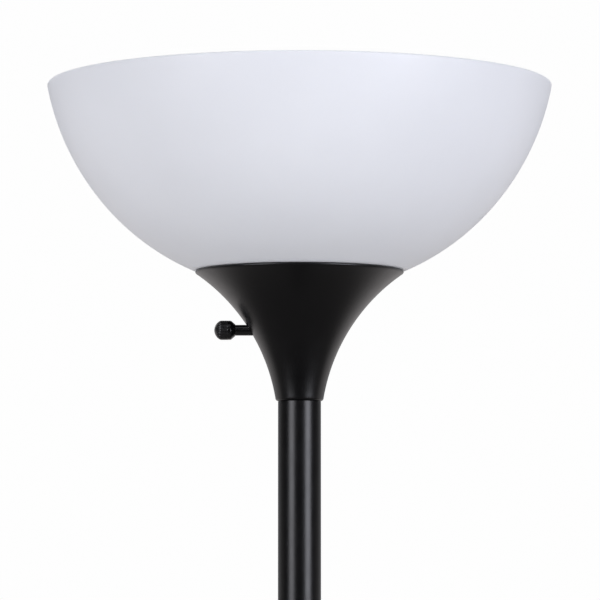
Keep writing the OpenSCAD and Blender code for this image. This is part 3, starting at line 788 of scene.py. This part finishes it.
def bulb():
    """Screw-in bulb: threaded cap, moulded housing and a frosted globe."""
    lo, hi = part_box("bulb_cap")
    wall = 0.4 * MM
    outer = hi.x
    outline = [(10 * MM, lo.z + wall), (10 * MM, lo.z), (10.6 * MM, lo.z)]
    outline += line((outer, lo.z + 2.2 * MM), (outer, hi.z), 72)
    outline += line((outer - wall, hi.z), (outer - wall, lo.z + 2.4 * MM), 72)
    turned("bulb_cap", outline, "bulb", 96,
           thread=dict(Pitch=THREAD_PITCH, Depth=0.7 * MM, From=lo.z + 1.8 * MM, To=hi.z - 2.5 * MM,
                       Fade=1.5 * MM))

    cut = low("bulb_globe").z
    cut_r = math.sqrt(GLOBE_R ** 2 - (GLOBE_Z - cut) ** 2)
    foot = hi.z
    skin = 1.2 * MM
    outline = [(outer - 0.5 * MM, foot - 4 * MM), (outer - 0.5 * MM, foot)]
    outline += [(14.1 * MM, foot), (14.5 * MM, foot + 0.4 * MM)]
    # The neck swells in an S from the cap to the globe: radius and height above the cap, in mm
    neck = [(14.6, 2), (15.0, 5), (15.9, 9), (17.2, 13), (18.7, 17), (20.1, 21), (21.2, 25)]
    outline += [(r * MM, foot + z * MM) for r, z in neck]
    outline += [(cut_r - 0.1 * MM, cut - 1.2 * MM), (cut_r + 0.1 * MM, cut - 0.7 * MM)]
    outline += [(cut_r + 0.1 * MM, cut - 0.1 * MM), (cut_r - skin, cut - 0.1 * MM)]
    outline += [(cut_r - 2.8 * MM, cut - 7 * MM)]
    outline += [(r * MM - 1.6 * MM, foot + z * MM) for r, z in reversed(neck[:5])]
    outline += [(outer - 2 * MM, foot - 4 * MM)]
    turned("bulb_housing", outline, "bulb", 160)

    start = math.degrees(math.asin((cut - GLOBE_Z) / GLOBE_R))
    inner = GLOBE_R - skin
    inner_start = math.degrees(math.asin((cut - GLOBE_Z) / inner))
    outline = [(inner * math.cos(math.radians(inner_start)), cut)]
    outline += arc((0, GLOBE_Z), GLOBE_R, start, 90, 60)
    outline += arc((0, GLOBE_Z), inner, 90, inner_start, 60)
    turned("bulb_globe", outline, "bulb", 160, closed=False)


bowl()
cup()
poles()
base()
gland()
switch_knob()
clamp_ring()
screw_shell()
bulb()


# ---------------------------------------------------------------- studio

def floor():
    """Plain pale floor. In reflections it is lit under the lamp and behind it, and dark in front."""
    mesh = bpy.data.meshes.new("studio_floor")
    work = bmesh.new()
    bmesh.ops.create_circle(work, cap_ends=True, segments=96, radius=40.0)
    work.to_mesh(mesh)
    work.free()
    obj = bpy.data.objects.new("studio_floor", mesh)
    bpy.context.scene.collection.objects.link(obj)
    mat = bpy.data.materials.new("floor_paper_pale")
    mat.use_nodes = True
    tree = mat.node_tree
    tree.nodes.clear()
    paper = add(tree, "ShaderNodeBsdfDiffuse", {"Color": linear("#b4b4b7")})
    glow = add(tree, "ShaderNodeEmission", {"Color": (1, 1, 1, 1), "Strength": FLOOR_GLOW})
    seen = add(tree, "ShaderNodeAddShader", {0: paper, 1: glow})
    place = add(tree, "ShaderNodeSeparateXYZ", {
        "Vector": add(tree, "ShaderNodeTexCoord").outputs["Object"]}).outputs
    off_axis = add(tree, "ShaderNodeMath", {0: place["X"]}, operation="ABSOLUTE")
    swerve = add(tree, "ShaderNodeMath", {0: off_axis, 1: 0.1}, operation="MULTIPLY")
    beside = add(tree, "ShaderNodeMath", {0: swerve, 1: place["Y"]}, operation="ADD")
    back = add(tree, "ShaderNodeMapRange", {
        "Value": beside, "From Min": 0.7, "From Max": 3.2, "To Min": FLOOR_UNDER, "To Max": FLOOR_BACK,
    }, interpolation_type="SMOOTHSTEP")
    front = add(tree, "ShaderNodeMapRange", {
        "Value": place["Y"], "From Min": -3.5, "From Max": -0.9,
        "To Min": FLOOR_FRONT - FLOOR_UNDER, "To Max": 0.0,
    }, interpolation_type="SMOOTHSTEP")
    light = add(tree, "ShaderNodeMath", {0: back, 1: front}, operation="ADD")
    lit = add(tree, "ShaderNodeEmission", {"Color": linear("#fffafa"), "Strength": light})
    camera_ray = add(tree, "ShaderNodeLightPath").outputs["Is Camera Ray"]
    both = add(tree, "ShaderNodeMixShader", {0: camera_ray, 1: lit, 2: seen})
    add(tree, "ShaderNodeOutputMaterial", {"Surface": both})
    mesh.materials.append(mat)


def world():
    """White to the camera; to everything else a white wall behind the lamp and a dim room in front."""
    scene_world = bpy.data.worlds.new("studio")
    bpy.context.scene.world = scene_world
    scene_world.use_nodes = True
    tree = scene_world.node_tree
    tree.nodes.clear()
    way = add(tree, "ShaderNodeSeparateXYZ", {
        "Vector": add(tree, "ShaderNodeTexCoord").outputs["Generated"]}).outputs["Y"]
    wall = add(tree, "ShaderNodeMapRange", {
        "Value": way, "From Min": 0.25, "From Max": 0.75, "To Min": ROOM_FRONT, "To Max": ROOM_BACK,
    }, interpolation_type="SMOOTHSTEP")
    camera_ray = add(tree, "ShaderNodeLightPath").outputs["Is Camera Ray"]
    seen = add(tree, "ShaderNodeBackground", {"Color": (0.99, 0.99, 0.99, 1), "Strength": 1.0})
    around = add(tree, "ShaderNodeBackground", {"Color": linear("#f6f8ff"), "Strength": wall})
    both = add(tree, "ShaderNodeMixShader", {0: camera_ray, 1: around, 2: seen})
    add(tree, "ShaderNodeOutputWorld", {"Surface": both})


HEAD = Vector((0, 0, (RIM_Z + CUP_Z) / 2))


def softbox(name, azimuth, elevation, distance, width, height, radiance, colour="#ffffff", mirrored=True):
    """A soft rectangular light round the lamp's head; azimuth 0 is the camera's side, + is to its right.

    A light that isn't mirrored is kept out of the gloss, as light bounced from a wide matt card is.
    """
    a, e = math.radians(azimuth), math.radians(elevation)
    away = Vector((math.sin(a) * math.cos(e), -math.cos(a) * math.cos(e), math.sin(e)))
    light = bpy.data.lights.new(name, "AREA")
    light.shape = "RECTANGLE"
    light.size = width
    light.size_y = height
    light.energy = radiance * width * height * math.pi
    light.color = linear(colour)[:3]
    obj = bpy.data.objects.new(name, light)
    bpy.context.scene.collection.objects.link(obj)
    obj.location = HEAD + away * distance
    obj.rotation_euler = away.to_track_quat("Z", "Y").to_euler()
    obj.visible_glossy = mirrored


def camera():
    """The camera stands a little below the bowl and looks up at the head of the lamp."""
    data = bpy.data.cameras.new("view")
    data.lens = CAMERA_LENS_MM
    data.sensor_width = 36
    data.clip_end = 100
    obj = bpy.data.objects.new("view", data)
    bpy.context.scene.collection.objects.link(obj)
    obj.location = (CAMERA_SIDE, -CAMERA_DISTANCE, CAMERA_Z)
    target = Vector((CAMERA_SIDE, 0, CAMERA_AIM_Z))
    obj.rotation_euler = (obj.location - target).to_track_quat("Z", "Y").to_euler()
    bpy.context.scene.camera = obj


floor()
world()
# Name, azimuth and elevation in degrees, distance, width and height in metres, radiance, colour
softbox("softbox_left", -43, 10, 2.0, 0.95, 1.85, 3.5, "#f8f8ff")
softbox("softbox_right", 46, 10, 2.0, 1.0, 1.85, 4.7, "#f4f5ff")
softbox("spot_front", 0, 12, 2.6, 0.3, 0.2, 0.8)
softbox("card_front", 0, -26, 2.4, 2.6, 1.2, 0.45, "#f6f8ff", mirrored=False)
softbox("card_below", 0, -42, 1.5, 2.4, 1.2, 0.92, "#fdfcff", mirrored=False)
softbox("card_left", -90, -14, 2.0, 1.8, 1.8, 0.8, "#f4f6ff", mirrored=False)
softbox("card_right", 90, -14, 2.0, 1.8, 1.8, 0.4, "#f4f6ff", mirrored=False)
softbox("card_back", 180, 4, 2.6, 2.2, 1.6, 1.1, "#fdfcff", mirrored=False)
softbox("softbox_top", 0, 89, 2.0, 1.4, 1.4, 2.8, "#fbfcff")
softbox("fill_back_left", -140, 20, 3.0, 1.6, 1.6, 0.5)
softbox("fill_back_right", 140, 20, 3.0, 1.6, 1.6, 0.5)
camera()
bpy.context.scene.view_settings.view_transform = "Standard"
